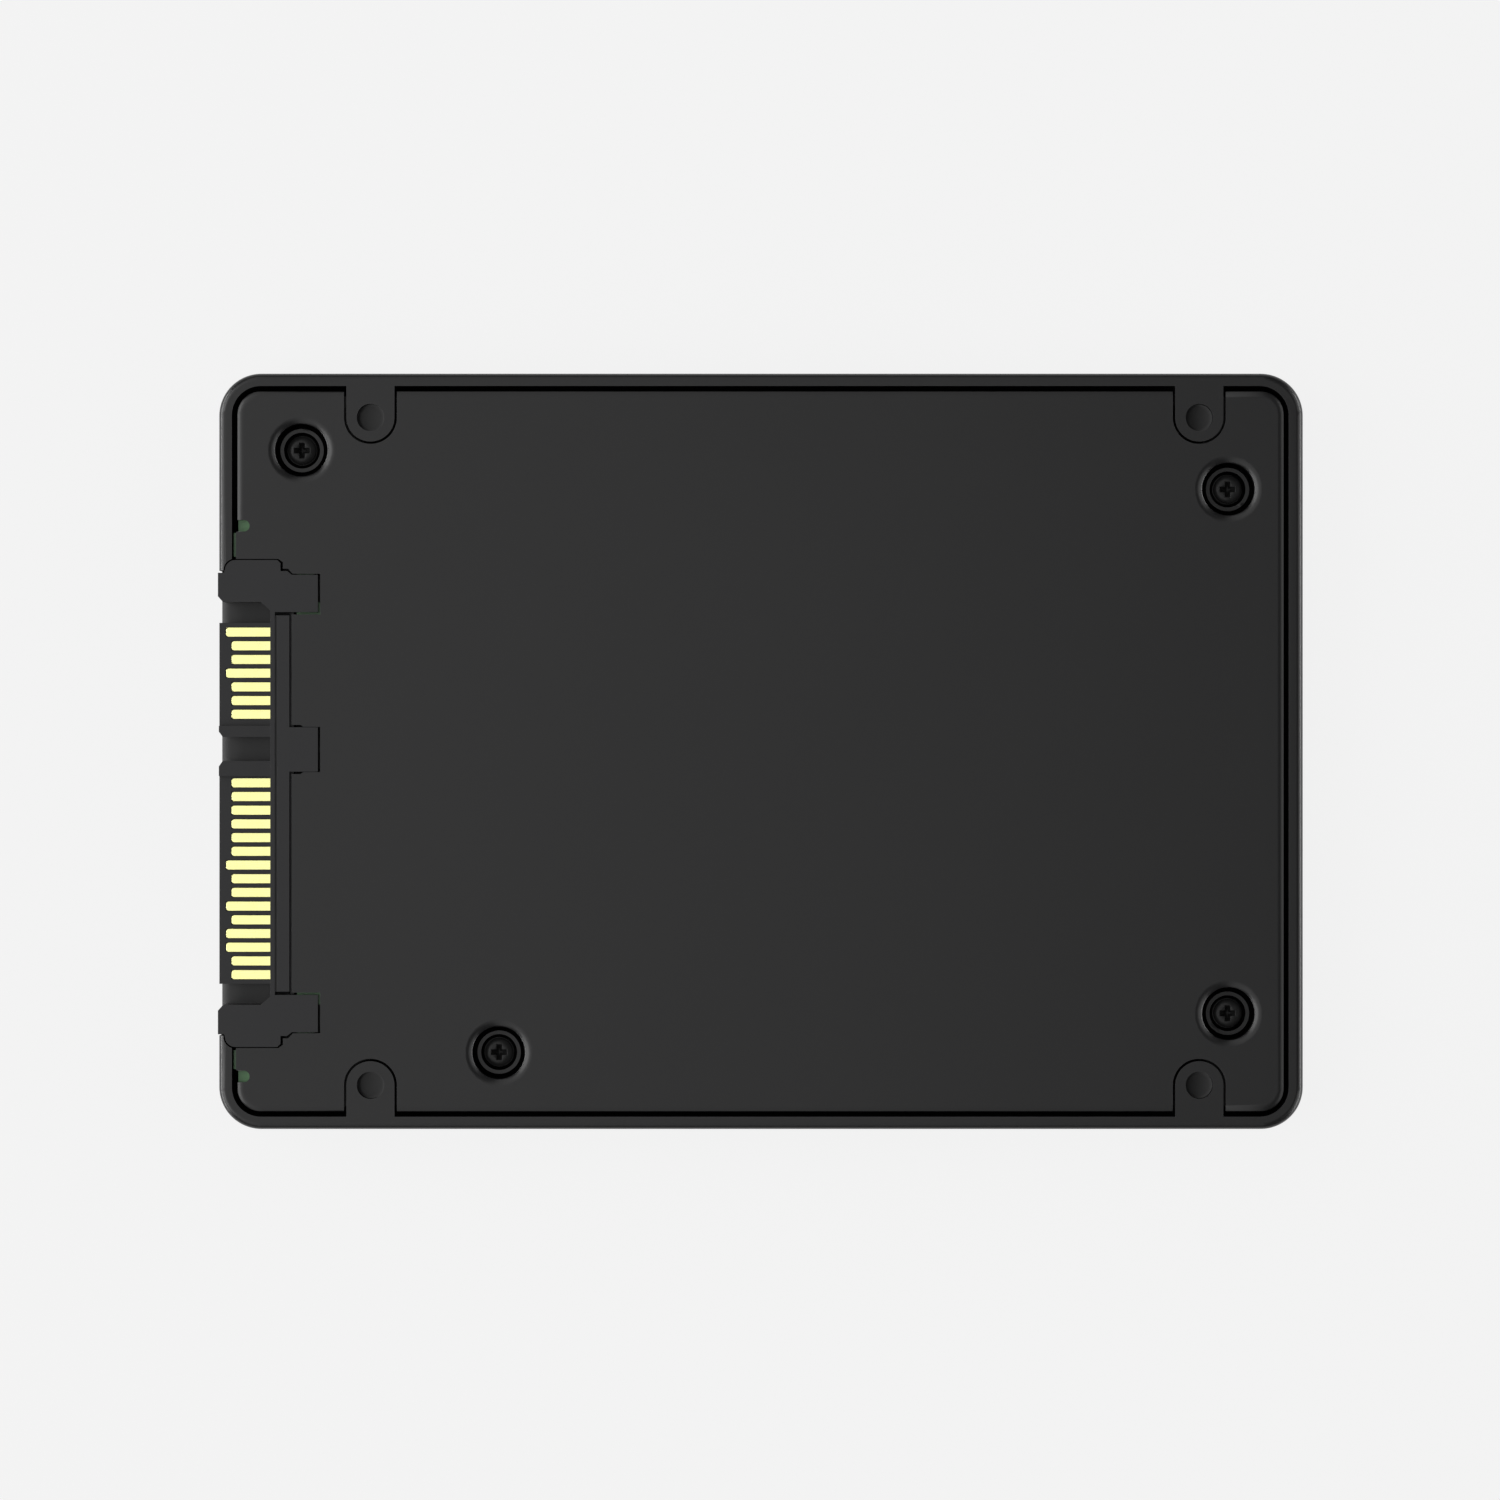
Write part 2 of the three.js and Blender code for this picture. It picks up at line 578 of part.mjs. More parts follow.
// One guide wing, from points on its side of the connector's centre line.
function wingSlab(side) {
  const [noseIn, noseOut] = WING_NOSE;
  const [cornerX, cornerS] = WING_CORNER;
  const [rootLength, rootWidth] = WING_ROOT_CHAMFER;
  const outline = [
    [CONNECTOR_FRONT, noseIn],
    [CONNECTOR_FRONT, noseOut],
    [WING_NOSE_BACK, noseOut],
  ];
  const steps = 6;
  for (let i = 0; i <= steps; i += 1) {
    const angle = Math.PI - (i / steps) * (Math.PI / 2);
    const x = cornerX + WING_CORNER_RADIUS * Math.cos(angle);
    outline.push([x, cornerS + WING_CORNER_RADIUS * Math.sin(angle)]);
  }
  outline.push(
    [WING_BACK - WING_CHAMFER, WING_OUTER],
    [WING_BACK, WING_OUTER - WING_CHAMFER],
    [WING_BACK, HEEL_OUTER[0]],
    [WALL_FRONT, HEEL_OUTER[0]],
    [WALL_FRONT, WING_INNER - rootWidth],
    [WALL_FRONT - rootLength, WING_INNER],
    [CONNECTOR_FRONT + WING_NOSE_CHAMFER, WING_INNER],
  );
  const placed = outline.map(([x, s]) => [x, CONNECTOR_Y + side * s]);
  const shape = polygon(side > 0 ? placed.reverse() : placed);
  return slab(shape, CONNECTOR_BOTTOM, CONNECTOR_TOP);
}

function makeConnectorHousing() {
  const low = CONNECTOR_Y - TONGUE_END;
  const high = CONNECTOR_Y + TONGUE_END;
  const rearZ = BOARD_TOP + PART_GAP;
  const behind = WALL_FRONT + OVERLAP;
  const [keyLow, keyHigh] = SIGNAL_KEY.map((s) => CONNECTOR_Y + s);
  const [powerKeyLow, powerKeyHigh] = POWER_KEY.map((s) => CONNECTOR_Y + s);
  const wallLow = CONNECTOR_Y - WING_INNER - OVERLAP;
  const wallHigh = CONNECTOR_Y + WING_INNER + OVERLAP;
  const footLow = CONNECTOR_Y - HEEL_OUTER[0];
  const footHigh = CONNECTOR_Y + HEEL_OUTER[0];
  let body = toSolid(slab(connectorRear(0, 0, 0, WALL_FRONT + OVERLAP), rearZ, CONNECTOR_TOP));
  body = join(body, [
    wingSlab(1),
    wingSlab(-1),
    block(WALL_FRONT, WALL_BACK, wallLow, wallHigh, CONNECTOR_BOTTOM, CONNECTOR_TOP),
    block(WALL_FRONT, WALL_FOOT_BACK, footLow, footHigh, CONNECTOR_BOTTOM, WALL_FOOT_TOP),
    block(CONNECTOR_FRONT, behind, (keyLow + keyHigh) / 2, high, TONGUE_BACK_Z, TONGUE_FACE_Z),
    block(CONNECTOR_FRONT, behind, low, (powerKeyLow + powerKeyHigh) / 2, TONGUE_BACK_Z, TONGUE_FACE_Z),
    keyRidge(keyLow, keyHigh, behind),
    keyRidge(powerKeyHigh, powerKeyLow, behind),
  ]);
  const [grooveX0, grooveX1] = WALL_GROOVE;
  const groove = block(
    grooveX0, grooveX1, footLow, footHigh, CONNECTOR_TOP - WALL_GROOVE_DEPTH, HEIGHT,
  );
  const slots = [1, -1].map((side) => {
    const middle = CONNECTOR_Y + side * (HEEL_OUTER[0] - HEEL_SLOT_WIDTH / 2);
    return block(
      grooveX0, WALL_BACK + OVERLAP, middle - HEEL_SLOT_WIDTH / 2, middle + HEEL_SLOT_WIDTH / 2,
      CONNECTOR_TOP - HEEL_SLOT_DEPTH, HEIGHT,
    );
  });
  const channels = contactPlaces.map(({ y, tip }) => {
    const half = CONTACT_WIDTH / 2 + CONTACT_CLEARANCE;
    const floor = contactBottom - CONTACT_CLEARANCE;
    const roof = contactBottom + CONTACT_THICKNESS + CONTACT_CLEARANCE;
    return block(tip - CONTACT_CLEARANCE, WALL_FOOT_BACK + OVERLAP, y - half, y + half, floor, roof);
  });
  return cut(body, [groove, ...slots, ...channels]);
}

// A key ridge at the end of a tongue. Its front corner next to the key gap is cut away.
function keyRidge(gapSide, tongueSide, backX) {
  const [chamferX, chamferY] = KEY_CHAMFER;
  const inward = Math.sign(tongueSide - gapSide);
  const shape = polygon([
    [backX, gapSide],
    [CONNECTOR_FRONT + chamferX, gapSide],
    [CONNECTOR_FRONT, gapSide + inward * chamferY],
    [CONNECTOR_FRONT, tongueSide],
    [backX, tongueSide],
  ]);
  return slab(shape, TONGUE_BACK_Z, KEY_TOP_Z);
}

// ---- contacts

const contactBottom = TONGUE_FACE_Z + CONTACT_PROUD - CONTACT_THICKNESS;

function contactRow(prefix, count, first, longOnes) {
  return Array.from({ length: count }, (_, i) => ({
    name: `${prefix}_${i + 1}`,
    y: CONNECTOR_Y + first - i * PITCH,
    tip: longOnes.includes(i + 1) ? CONTACT_LONG_TIP : CONTACT_SHORT_TIP,
  }));
}

const contactPlaces = [
  ...contactRow('signal_contact', SIGNAL_COUNT, SIGNAL_FIRST, LONG_SIGNAL),
  ...contactRow('power_contact', POWER_COUNT, POWER_FIRST, LONG_POWER),
];

// A flat contact: a wide blade with a rounded tip, and a narrow tail to the board.
function makeContact({ y, tip }) {
  const half = CONTACT_WIDTH / 2;
  const tail = TAIL_WIDTH / 2;
  const round = CONTACT_TIP_ROUND;
  const shape = new THREE.Shape();
  shape.moveTo(tip, y + half - round);
  shape.absarc(tip + round, y - half + round, round, Math.PI, Math.PI * 1.5, false);
  shape.lineTo(CONTACT_WIDE_END, y - half);
  shape.lineTo(CONTACT_WIDE_END, y - tail);
  shape.lineTo(TAIL_END, y - tail);
  shape.lineTo(TAIL_END, y + tail);
  shape.lineTo(CONTACT_WIDE_END, y + tail);
  shape.lineTo(CONTACT_WIDE_END, y + half);
  shape.lineTo(tip + round, y + half);
  shape.absarc(tip + round, y + half - round, round, Math.PI / 2, Math.PI, false);
  return slab(shape, contactBottom, contactBottom + CONTACT_THICKNESS, 3);
}

// ---- circuit board and what it carries

const boardLocks = [1, -1].map((side) => ({
  name: side > 0 ? 'board_lock_signal_side' : 'board_lock_power_side',
  x: (WALL_BACK + HEEL_BACK) / 2,
  y: CONNECTOR_Y + (side * (HEEL_OUTER[0] + HEEL_OUTER[1])) / 2,
}));

function makeCircuitBoard() {
  const outline = roundedRect(BOARD_X0, BOARD_X1, -BOARD_Y, BOARD_Y, BOARD_CORNER);
  const below = BOARD_BOTTOM - 1;
  const above = BOARD_TOP + 1;
  const connectorEnd = WING_OUTER + BOARD_CLEARANCE;
  const heelEnd = HEEL_OUTER[1] + SHOULDER_WIDTH + BOARD_CLEARANCE;
  const [middleLow, middleHigh] = HEEL_MIDDLE;
  const ears = BOARD_EARS.map(([x, y0, y1]) => (
    block(x, BOARD_X0 + BOARD_CORNER, y0, y1, BOARD_BOTTOM, BOARD_TOP)
  ));
  return cut(join(toSolid(slab(outline, BOARD_BOTTOM, BOARD_TOP, 4)), ears), [
    block(
      FRONT, WING_BACK + BOARD_CLEARANCE,
      CONNECTOR_Y - connectorEnd, CONNECTOR_Y + connectorEnd, below, above,
    ),
    block(
      FRONT, WALL_FOOT_BACK + BOARD_CLEARANCE,
      CONNECTOR_Y - heelEnd, CONNECTOR_Y + heelEnd, below, above,
    ),
    block(
      FRONT, HEEL_BACK + HEEL_MARGIN,
      CONNECTOR_Y + middleLow - HEEL_MARGIN, CONNECTOR_Y + middleHigh + HEEL_MARGIN, below, above,
    ),
    ...[1, -1].map((side) => heelRelief(side)),
    ...mountPlaces.filter(([x]) => x < BOARD_X1).map((place) => (
      slab(tabShape(place, TAB_RADIUS + BOARD_CLEARANCE, SIDE), below, above, 8)
    )),
    ...SCREW_PLACES.filter(([x]) => x < BOARD_X1).map((place) => (
      slab(tabShape(place, CUP_RADIUS + BOARD_CLEARANCE, SIDE), below, above, 8)
    )),
    ...boardLocks.map(({ x, y }) => post(x, y, LOCK_RADIUS + LOCK_HOLE_GAP, below, above, 12)),
  ]);
}

// A slot through the board below the rear edge of an outer heel.
function heelRelief(side) {
  const ends = [HEEL_RELIEF_START, HEEL_OUTER[1] + HEEL_MARGIN].map((s) => CONNECTOR_Y + side * s);
  return block(
    HEEL_BACK - HEEL_RELIEF, HEEL_BACK + HEEL_RELIEF,
    Math.min(...ends), Math.max(...ends), BOARD_BOTTOM - 1, BOARD_TOP + 1,
  );
}

function makeBoardLock({ x, y }) {
  const head = LOCK_RADIUS + LOCK_HEAD;
  const foot = BOARD_BOTTOM - LOCK_HEAD;
  return turned(x, y, [
    [0, foot],
    [head - LOCK_CHAMFER, foot],
    [head, foot + LOCK_CHAMFER],
    [head, BOARD_BOTTOM - PART_GAP],
    [LOCK_RADIUS, BOARD_BOTTOM - PART_GAP],
    [LOCK_RADIUS, BOARD_TOP],
    [0, BOARD_TOP],
  ], 12);
}

// A chip package on the board's label side, with its edges eased.
function chip(x, y, length, width, thickness, ease = CHIP_EASE) {
  const top = BOARD_BOTTOM - PART_GAP;
  const halfX = length / 2;
  const halfY = width / 2;
  const corners = [[-halfX, -halfY], [halfX, -halfY], [halfX, halfY], [-halfX, halfY]];
  const shape = polygon(corners.map(([dx, dy]) => [x + dx, y + dy]));
  return easedSlab(shape, top - thickness, top, { ease });
}

const CHIP_EASE = 0.12;
const CHIPS = [
  { name: 'controller_chip', place: [-25, -2], size: [14, 14, 1.2], surface: 'package' },
  { name: 'dram_chip', place: [-25, 13], size: [10, 9, 1], surface: 'package' },
  { name: 'firmware_flash_chip', place: [-36, 3], size: [6, 5, 0.9], surface: 'package' },
  { name: 'power_management_chip', place: [-36, -14], size: [5, 5, 0.9], surface: 'package' },
  { name: 'load_switch_chip', place: [-37, -21], size: [3, 3, 0.8], surface: 'package' },
  { name: 'crystal_oscillator', place: [-36, 10.5], size: [3.2, 2.5, 0.7], surface: 'tin' },
];
const NAND_COUNT = 4;
const NAND_SIZE = [18, 12, 1];
const NAND_X = 1.5;
const NAND_PITCH_Y = 14;
const INDUCTOR_COUNT = 3;
const INDUCTOR_SIZE = [4, 4, 1.8];
const INDUCTOR_FIRST = [-30, -15.5];
const INDUCTOR_STEP = 5.2;
const CAPACITOR_COUNT = 8;
const CAPACITOR_SIZE = [3.2, 1.6, 1.3];
const CAPACITOR_FIRST = [-12, -20.5];
const CAPACITOR_STEP = 5.8;
const INDUCTOR_EASE = 0.3;
const PAD_MARGIN = 0.5;
const PAD_CORNER = 0.4;

function addBoardParts() {
  for (const { name, place, size, surface } of CHIPS) {
    addNode(name, chip(...place, ...size), surface);
  }
  for (let i = 0; i < NAND_COUNT; i += 1) {
    const y = (i - (NAND_COUNT - 1) / 2) * NAND_PITCH_Y;
    addNode(`flash_memory_chip_${i + 1}`, chip(NAND_X, y, ...NAND_SIZE), 'package');
  }
  for (let i = 0; i < INDUCTOR_COUNT; i += 1) {
    const y = INDUCTOR_FIRST[1] - i * INDUCTOR_STEP;
    const inductor = chip(INDUCTOR_FIRST[0], y, ...INDUCTOR_SIZE, INDUCTOR_EASE);
    addNode(`power_inductor_${i + 1}`, inductor, 'ferrite');
  }
  for (let i = 0; i < CAPACITOR_COUNT; i += 1) {
    const y = CAPACITOR_FIRST[1] + i * CAPACITOR_STEP;
    addNode(`capacitor_${i + 1}`, chip(CAPACITOR_FIRST[0], y, ...CAPACITOR_SIZE), 'ceramic');
  }
}

// Soft pads that carry the chips' heat to the base.
function addThermalPads() {
  const [controller] = CHIPS;
  const [x, y] = controller.place;
  const [length, width, thickness] = controller.size;
  const floor = BASE_THICKNESS + PART_GAP;
  const controllerFace = BOARD_BOTTOM - PART_GAP - thickness - PART_GAP;
  const halfX = length / 2 - PAD_MARGIN;
  const halfY = width / 2 - PAD_MARGIN;
  const controllerPad = roundedRect(x - halfX, x + halfX, y - halfY, y + halfY, PAD_CORNER);
  addNode('controller_thermal_pad', slab(controllerPad, floor, controllerFace, 2), 'pad');
  const flashFace = BOARD_BOTTOM - PART_GAP - NAND_SIZE[2] - PART_GAP;
  const flashHalfX = NAND_SIZE[0] / 2 - PAD_MARGIN;
  const flashHalfY = (NAND_PITCH_Y * (NAND_COUNT - 1) + NAND_SIZE[1]) / 2 - PAD_MARGIN;
  const flashPad = roundedRect(
    NAND_X - flashHalfX, NAND_X + flashHalfX, -flashHalfY, flashHalfY, PAD_CORNER,
  );
  addNode('flash_thermal_pad', slab(flashPad, floor, flashFace, 2), 'pad');
}

addNode('top_housing', toGeometry(makeTopHousing()), 'shell');
addNode('bottom_cover', toGeometry(makeBottomCover()), 'shell');
SCREW_PLACES.forEach((place, i) => addNode(`cover_screw_${i + 1}`, makeCoverScrew(place), 'screw'));
addNode('face_label', makeFaceLabel(), 'label');
addNode('circuit_board', toGeometry(makeCircuitBoard()), 'board');
addNode('connector_housing', toGeometry(makeConnectorHousing()), 'plug');
for (const place of contactPlaces) {
  addNode(place.name, makeContact(place), 'gold');
}
for (const place of boardLocks) {
  addNode(place.name, makeBoardLock(place), 'tin');
}
addBoardParts();
addThermalPads();

export default drive;
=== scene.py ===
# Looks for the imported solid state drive: materials, fine detail, floor, light and camera.
import json
import math

import bpy
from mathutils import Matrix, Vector


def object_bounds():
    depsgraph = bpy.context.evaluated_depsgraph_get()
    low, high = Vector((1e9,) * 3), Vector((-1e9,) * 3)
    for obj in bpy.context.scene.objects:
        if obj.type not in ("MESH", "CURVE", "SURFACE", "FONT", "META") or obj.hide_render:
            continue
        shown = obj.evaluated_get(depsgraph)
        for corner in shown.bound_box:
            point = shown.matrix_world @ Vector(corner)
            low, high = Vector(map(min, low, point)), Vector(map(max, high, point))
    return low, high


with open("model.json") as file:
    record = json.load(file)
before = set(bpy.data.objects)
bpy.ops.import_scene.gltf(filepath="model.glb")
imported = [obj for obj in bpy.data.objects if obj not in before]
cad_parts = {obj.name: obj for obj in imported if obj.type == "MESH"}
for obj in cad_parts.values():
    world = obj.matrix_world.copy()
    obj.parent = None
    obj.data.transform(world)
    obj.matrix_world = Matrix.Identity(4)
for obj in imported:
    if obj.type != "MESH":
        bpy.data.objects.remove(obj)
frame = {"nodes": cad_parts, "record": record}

MM = 0.001
NODES = frame["nodes"]
CAD_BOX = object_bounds()


# ---- material helpers

# Sockets of a Mix node that mixes colours.
MIX_FACTOR, MIX_FIRST, MIX_SECOND = 0, 6, 7
MIX_RESULT = 2

# The noise values that reach the two ends of a range; it is clamped outside them.
NOISE_LOW, NOISE_HIGH = 0.3, 0.7

# Cosines of the lean of an edge's rounded normal, for the painted edge highlight: full highlight, and
# none.
FULL_HIGHLIGHT_COSINE, NO_HIGHLIGHT_COSINE = 0.86, 0.995
EDGE_MASK_SAMPLES = 6


class Shader:
    """A node material with a Principled surface, built by short calls."""

    def __init__(self, name):
        self.material = bpy.data.materials.new(name)
        self.material.use_nodes = True
        self.tree = self.material.node_tree
        self.surface = self.tree.nodes["Principled BSDF"]

    def node(self, kind, **values):
        """A new node, with each value set as its property or else as its input."""
        made = self.tree.nodes.new(kind)
        for key, value in values.items():
            if hasattr(made, key):
                setattr(made, key, value)
            else:
                made.inputs[key.replace("_", " ")].default_value = value
        return made

    def link(self, start, end):
        self.tree.links.new(start, end)

    def set(self, **values):
        """Sets inputs of the surface, with _ for each space in their names."""
        for key, value in values.items():
            self.surface.inputs[key.replace("_", " ")].default_value = value

    def position(self):
        return self.node("ShaderNodeNewGeometry").outputs["Position"]

    def noise(self, size, detail=3.0):
        """Noise whose features are about `size` metres across."""
        made = self.node("ShaderNodeTexNoise", Scale=1.0 / size, Detail=detail)
        self.link(self.position(), made.inputs["Vector"])
        return made.outputs["Fac"]

    def streaks(self, width, length):
        """Fine lines along X, about `width` across and `length` long."""
        stretch = self.node("ShaderNodeMapping")
        stretch.inputs["Scale"].default_value = (1 / length, 1 / width, 1 / width)
        self.link(self.position(), stretch.inputs["Vector"])
        made = self.node("ShaderNodeTexNoise", Scale=1.0, Detail=2.0)
        self.link(stretch.outputs["Vector"], made.inputs["Vector"])
        return made.outputs["Fac"]

    def spread(self, fac, low, high, fac_low=NOISE_LOW, fac_high=NOISE_HIGH):
        """Maps fac_low to `low` and fac_high to `high`, and clamps outside them."""
        made = self.node("ShaderNodeMapRange")
        made.inputs["From Min"].default_value = fac_low
        made.inputs["From Max"].default_value = fac_high
        made.inputs["To Min"].default_value = low
        made.inputs["To Max"].default_value = high
        self.link(fac, made.inputs["Value"])
        return made.outputs["Result"]

    def blend(self, fac, first, second):
        """Mixes two colours, each a plain colour or another node's output."""
        made = self.node("ShaderNodeMix", data_type="RGBA")
        self.link(fac, made.inputs[MIX_FACTOR])
        for index, colour in ((MIX_FIRST, first), (MIX_SECOND, second)):
            socket = made.inputs[index]
            if isinstance(colour, bpy.types.NodeSocket):
                self.link(colour, socket)
            else:
                socket.default_value = (*colour, 1)
        return made.outputs[MIX_RESULT]

    def bump(self, height, distance):
        """A normal leaned by `height`, for bumps up to `distance` metres high."""
        made = self.node("ShaderNodeBump")
        made.inputs["Distance"].default_value = distance
        self.link(height, made.inputs["Height"])
        return made.outputs["Normal"]

    def colour(self, socket):
        self.link(socket, self.surface.inputs["Base Color"])

    def roughness(self, socket):
        self.link(socket, self.surface.inputs["Roughness"])

    def normal(self, socket):
        self.link(socket, self.surface.inputs["Normal"])

    def edge_mask(self, radius):
        """1 on sharp edges, 0 on flats: how far a rounded normal leans from the true one. It masks the
        painted edge highlight.
        """
        rounded = self.node("ShaderNodeBevel", samples=EDGE_MASK_SAMPLES)
        rounded.inputs["Radius"].default_value = radius
        flat = self.node("ShaderNodeNewGeometry").outputs["Normal"]
        dot = self.node("ShaderNodeVectorMath", operation="DOT_PRODUCT")
        self.link(rounded.outputs["Normal"], dot.inputs[0])
        self.link(flat, dot.inputs[1])
        return self.spread(dot.outputs["Value"], low=1.0, high=0.0,
                           fac_low=FULL_HIGHLIGHT_COSINE, fac_high=NO_HIGHLIGHT_COSINE)


# ---- materials

def shell_material():
    """Smooth black coat on a cast case, with faint mould flow and a painted highlight: a lighter colour
    along its sharp edges.
    """
    s = Shader("black_coated_case")
    s.set(IOR=1.42)
    tone = s.noise(size=14 * MM, detail=4.0)
    grain = s.noise(size=0.14 * MM, detail=2.0)
    coat = s.blend(tone, (0.0042, 0.0042, 0.0044), (0.0056, 0.0056, 0.0058))
    # Painted highlight: the colour is lighter along sharp edges, where the edge mask is 1.
    s.colour(s.blend(s.edge_mask(radius=0.06 * MM), coat, (0.018, 0.018, 0.019)))
    s.roughness(s.spread(grain, low=0.29, high=0.33))
    s.normal(s.bump(grain, distance=0.0006 * MM))
    return s.material


def screw_material():
    """Black oxide steel, a little rubbed."""
    s = Shader("black_oxide_steel")
    tone = s.noise(size=0.5 * MM)
    s.set(Metallic=0.3, IOR=1.3)
    s.colour(s.blend(tone, (0.012, 0.012, 0.0122), (0.020, 0.020, 0.020)))
    s.roughness(s.spread(tone, low=0.28, high=0.36))
    s.normal(s.bump(s.noise(size=0.07 * MM, detail=2.0), distance=0.001 * MM))
    return s.material


def plug_material():
    """Moulded black plastic with a fine texture."""
    s = Shader("moulded_black_plastic")
    s.set(IOR=1.42)
    tone = s.noise(size=3 * MM)
    s.colour(s.blend(tone, (0.0042, 0.0042, 0.0050), (0.0060, 0.0060, 0.0068)))
    s.roughness(s.spread(tone, low=0.30, high=0.36))
    s.normal(s.bump(s.noise(size=0.12 * MM, detail=2.0), distance=0.0008 * MM))
    return s.material


def gold_material():
    """Pale gold plating with the faint rub marks of mating."""
    s = Shader("pale_gold_plating")
    s.set(Metallic=1.0)
    tone = s.noise(size=0.9 * MM)
    rub = s.streaks(width=0.05 * MM, length=4 * MM)
    s.colour(s.blend(tone, (1.0, 0.955, 0.40), (1.0, 0.985, 0.46)))
    s.roughness(s.spread(rub, low=0.22, high=0.32))
    s.normal(s.bump(rub, distance=0.0004 * MM))
    return s.material


def board_material():
    """Green solder mask over copper."""
    s = Shader("green_solder_mask")
    tone = s.noise(size=1.2 * MM, detail=4.0)
    s.colour(s.blend(tone, (0.058, 0.155, 0.058), (0.082, 0.195, 0.082)))
    s.roughness(s.spread(tone, low=0.3, high=0.42))
    s.normal(s.bump(s.noise(size=0.3 * MM, detail=2.0), distance=0.004 * MM))
    return s.material


ROUGHNESS_SPREAD = 0.05
BUMP_TO_TONE_SIZE = 0.2


def plain_material(name, low, high, size, roughness, metallic=0.0):
    """A two-tone surface with fine bumps, for the pieces inside and the label."""
    s = Shader(name)
    tone = s.noise(size)
    s.set(Metallic=metallic)
    s.colour(s.blend(tone, low, high))
    s.roughness(s.spread(tone, roughness - ROUGHNESS_SPREAD, roughness + ROUGHNESS_SPREAD))
    s.normal(s.bump(s.noise(size * BUMP_TO_TONE_SIZE, detail=2.0), distance=0.002 * MM))
    return s.material


MATERIALS = {
    "shell": shell_material(),
    "screw": screw_material(),
    "plug": plug_material(),
    "gold": gold_material(),
    "board": board_material(),
    "package": plain_material("moulded_epoxy", (0.008,) * 3, (0.014,) * 3, 1 * MM, 0.6),
    "ferrite": plain_material("ferrite", (0.04,) * 3, (0.06,) * 3, 0.5 * MM, 0.75),
    "ceramic": plain_material("fired_ceramic", (0.30, 0.20, 0.12), (0.36, 0.25, 0.15), 0.6 * MM, 0.55),
    "tin": plain_material("tin_plate", (0.60, 0.61, 0.62), (0.7, 0.7, 0.71), 0.6 * MM, 0.3, 1.0),
    "pad": plain_material("silicone_pad", (0.22, 0.26, 0.31), (0.26, 0.30, 0.36), 1 * MM, 0.85),
    "label": plain_material("blank_label_film", (0.30, 0.305, 0.31), (0.33, 0.335, 0.34), 5 * MM, 0.42),
}

# ---- broken edges

# Width of the broken edge that each kind of piece gets.
EDGE_WIDTHS = {
    "shell": 0.05 * MM,
    "screw": 0.03 * MM,
    "plug": 0.04 * MM,
    "gold": 0.02 * MM,
    "board": 0.03 * MM,
    "package": 0.03 * MM,
    "ferrite": 0.05 * MM,
    "ceramic": 0.05 * MM,
    "tin": 0.02 * MM,
    "pad": 0.05 * MM,
    "label": 0.01 * MM,
}
WELD_DISTANCE = 0.0005 * MM
FLAT_ANGLE = math.radians(0.6)
SHARP_ANGLE = math.radians(34)
EDGE_SEGMENTS = 2
LARGE_FACE_WEIGHT = 100


def break_edges(piece, width):
    """Flat faces become one, and their sharp edges are rounded over by a small width."""
    piece.data.shade_smooth()
    weld = piece.modifiers.new("weld", "WELD")
    weld.merge_threshold = WELD_DISTANCE
    flats = piece.modifiers.new("flats", "DECIMATE")
    flats.decimate_type = "DISSOLVE"
    flats.angle_limit = FLAT_ANGLE
    edges = piece.modifiers.new("edges", "BEVEL")
    edges.width = width
    edges.segments = EDGE_SEGMENTS
    edges.limit_method = "ANGLE"
    edges.angle_limit = SHARP_ANGLE
    edges.use_clamp_overlap = True
    shading = piece.modifiers.new("shading", "WEIGHTED_NORMAL")
    shading.weight = LARGE_FACE_WEIGHT


def dress_cad_nodes():
    """Each node of the frame gets its slot's material and edge width."""
    for part in frame["record"]["subparts"]:
        piece = NODES[part["node"]]
        slot = part["material_slot"]
        piece.data.materials.clear()
        piece.data.materials.append(MATERIALS[slot])
        break_edges(piece, EDGE_WIDTHS[slot])


dress_cad_nodes()


# ---- floor, light and camera, in metres except for the sensor

FLOOR_HALF = 1.5
FLOOR_GREY = 0.03
FLOOR_GLOW = 0.86
WORLD_GLOW = 0.05

CAMERA_DISTANCE = 1000 * MM
FRAME_WIDTH = 138.63 * MM
CAMERA_X, CAMERA_Y = -0.97 * MM, 0.125 * MM
SENSOR_WIDTH = 36  # in millimetres, as the lens is
CLIP_START, CLIP_END = 0.01, 10


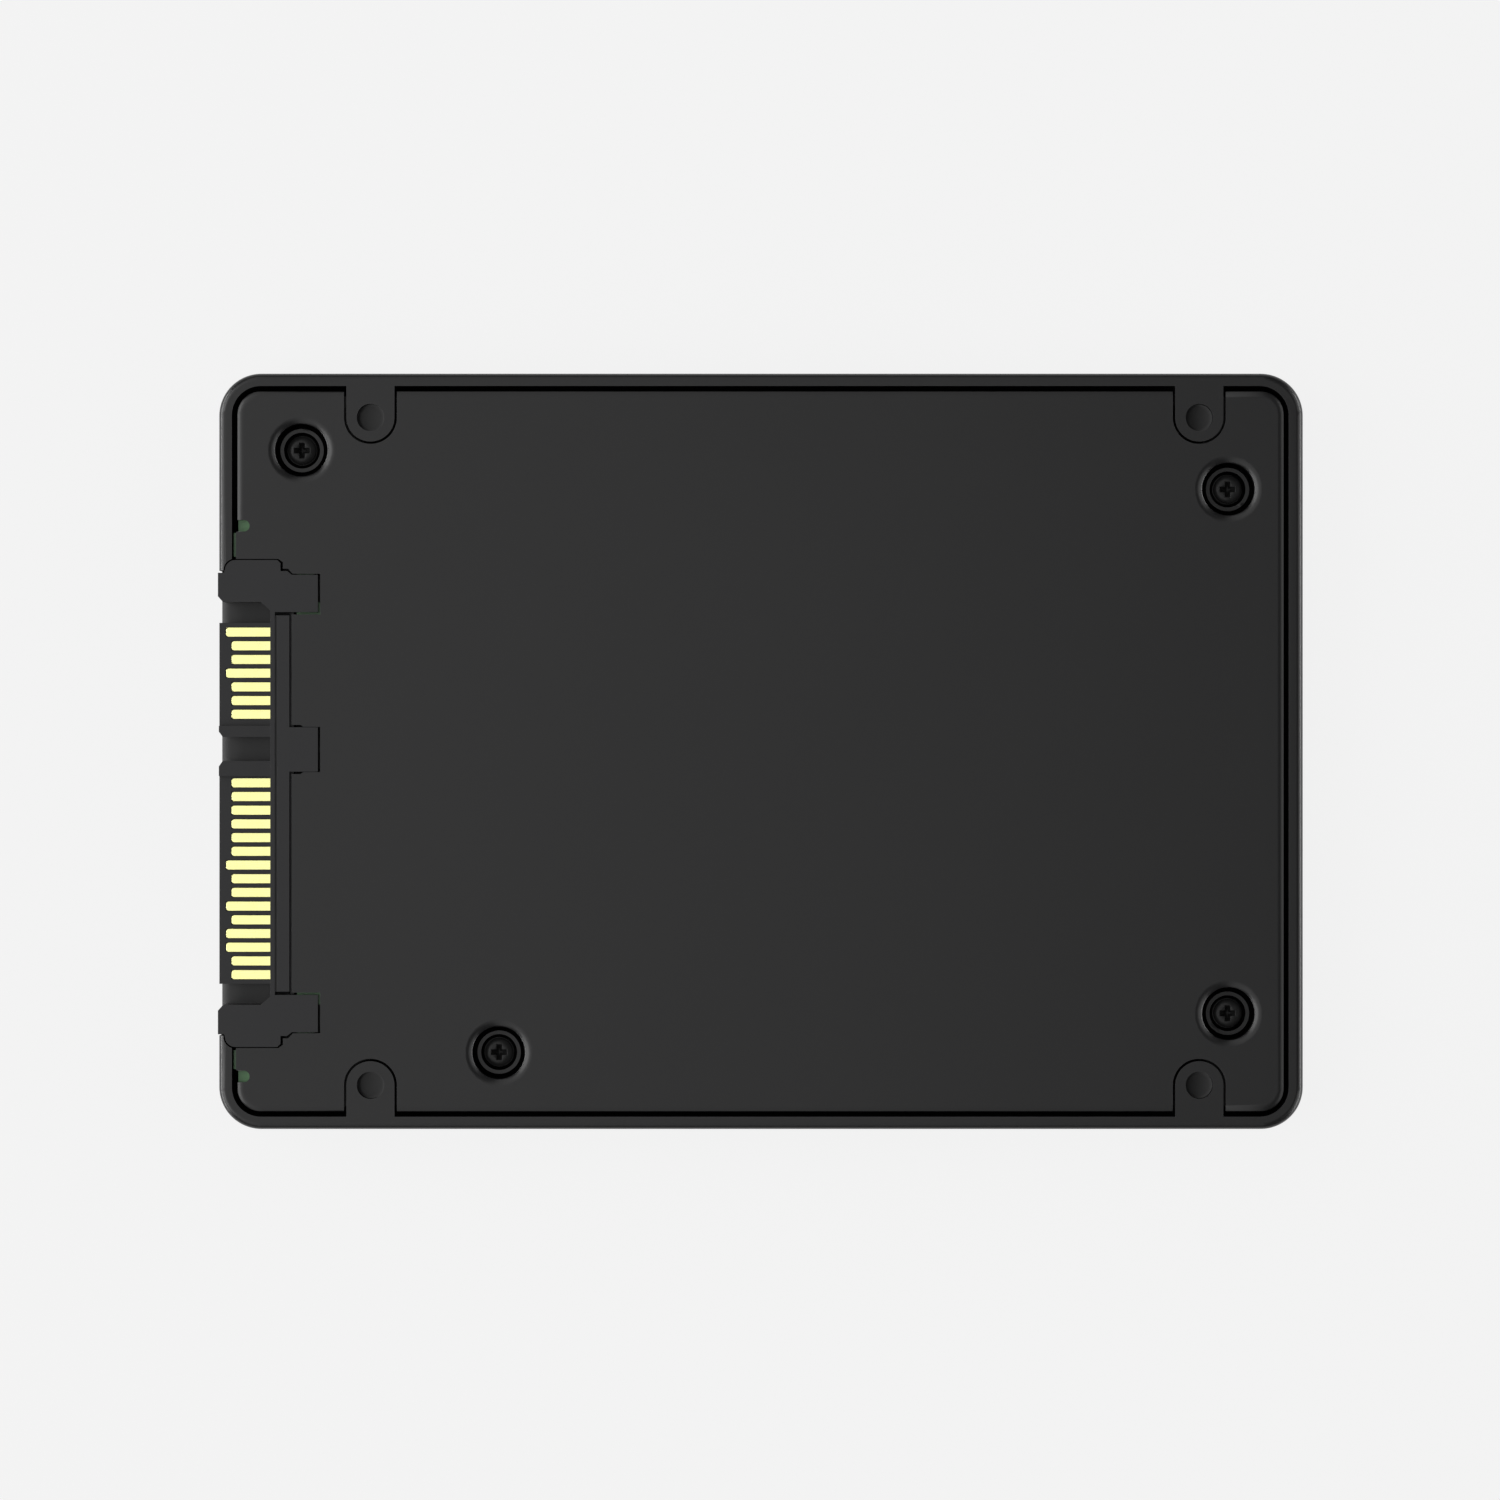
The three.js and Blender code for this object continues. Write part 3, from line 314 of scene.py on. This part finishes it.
def make_floor():
    """A floor that glows white, so the drive casts almost no shadow on it."""
    mesh = bpy.data.meshes.new("floor")
    half = FLOOR_HALF
    corners = [(-half, -half, 0), (half, -half, 0), (half, half, 0), (-half, half, 0)]
    mesh.from_pydata(corners, [], [(0, 1, 2, 3)])
    floor = bpy.data.objects.new("floor", mesh)
    bpy.context.scene.collection.objects.link(floor)
    s = Shader("lit_white_floor")
    s.set(Base_Color=(FLOOR_GREY, FLOOR_GREY, FLOOR_GREY, 1), Roughness=1.0, Specular_IOR_Level=0.0)
    s.set(Emission_Color=(1, 1, 1, 1), Emission_Strength=FLOOR_GLOW)
    mesh.materials.append(s.material)


def softbox(name, place, target, size, radiance):
    """A rectangular light; its power is worked out from the radiance of its face."""
    data = bpy.data.lights.new(name, "AREA")
    data.shape = "RECTANGLE"
    data.size, data.size_y = size
    data.energy = radiance * math.pi * size[0] * size[1]
    light = bpy.data.objects.new(name, data)
    light.location = place
    facing = Vector(target) - Vector(place)
    light.rotation_euler = facing.to_track_quat("-Z", "Y").to_euler()
    light.visible_camera = False
    bpy.context.scene.collection.objects.link(light)


def make_lights():
    """A faint even world, one light overhead, and a low and a raised one on each side."""
    world = bpy.data.worlds.new("studio")
    bpy.context.scene.world = world
    world.use_nodes = True
    background = world.node_tree.nodes["Background"]
    background.inputs["Color"].default_value = (1, 1, 1, 1)
    background.inputs["Strength"].default_value = WORLD_GLOW
    softbox("overhead", place=(-0.55, 0, 1.5), target=(-0.55, 0, 0), size=(1.3, 8.0), radiance=1.14)
    softbox("left_low", place=(-0.8, 0, 0.1), target=(0, 0, 0.1), size=(1.2, 0.2), radiance=11.0)
    softbox("left_side", place=(-0.8, 0, 0.68), target=(0, 0, 0), size=(1.2, 0.55), radiance=4.2)
    softbox("right_low", place=(0.8, 0, 0.1), target=(0, 0, 0.1), size=(1.2, 0.2), radiance=9.0)
    softbox("right_side", place=(0.8, 0, 0.6), target=(0, 0, 0), size=(1.2, 0.6), radiance=1.5)


def make_camera():
    """Straight above the cover face, with FRAME_WIDTH of that plane across the picture."""
    cover_face = CAD_BOX[1].z
    camera = bpy.data.cameras.new("camera")
    camera.sensor_width = SENSOR_WIDTH
    camera.lens = camera.sensor_width * CAMERA_DISTANCE / FRAME_WIDTH
    camera.clip_start = CLIP_START
    camera.clip_end = CLIP_END
    holder = bpy.data.objects.new("camera", camera)
    holder.location = (CAMERA_X, CAMERA_Y, cover_face + CAMERA_DISTANCE)
    bpy.context.scene.collection.objects.link(holder)
    bpy.context.scene.camera = holder


make_floor()
make_lights()
make_camera()
bpy.context.scene.view_settings.view_transform = "Standard"
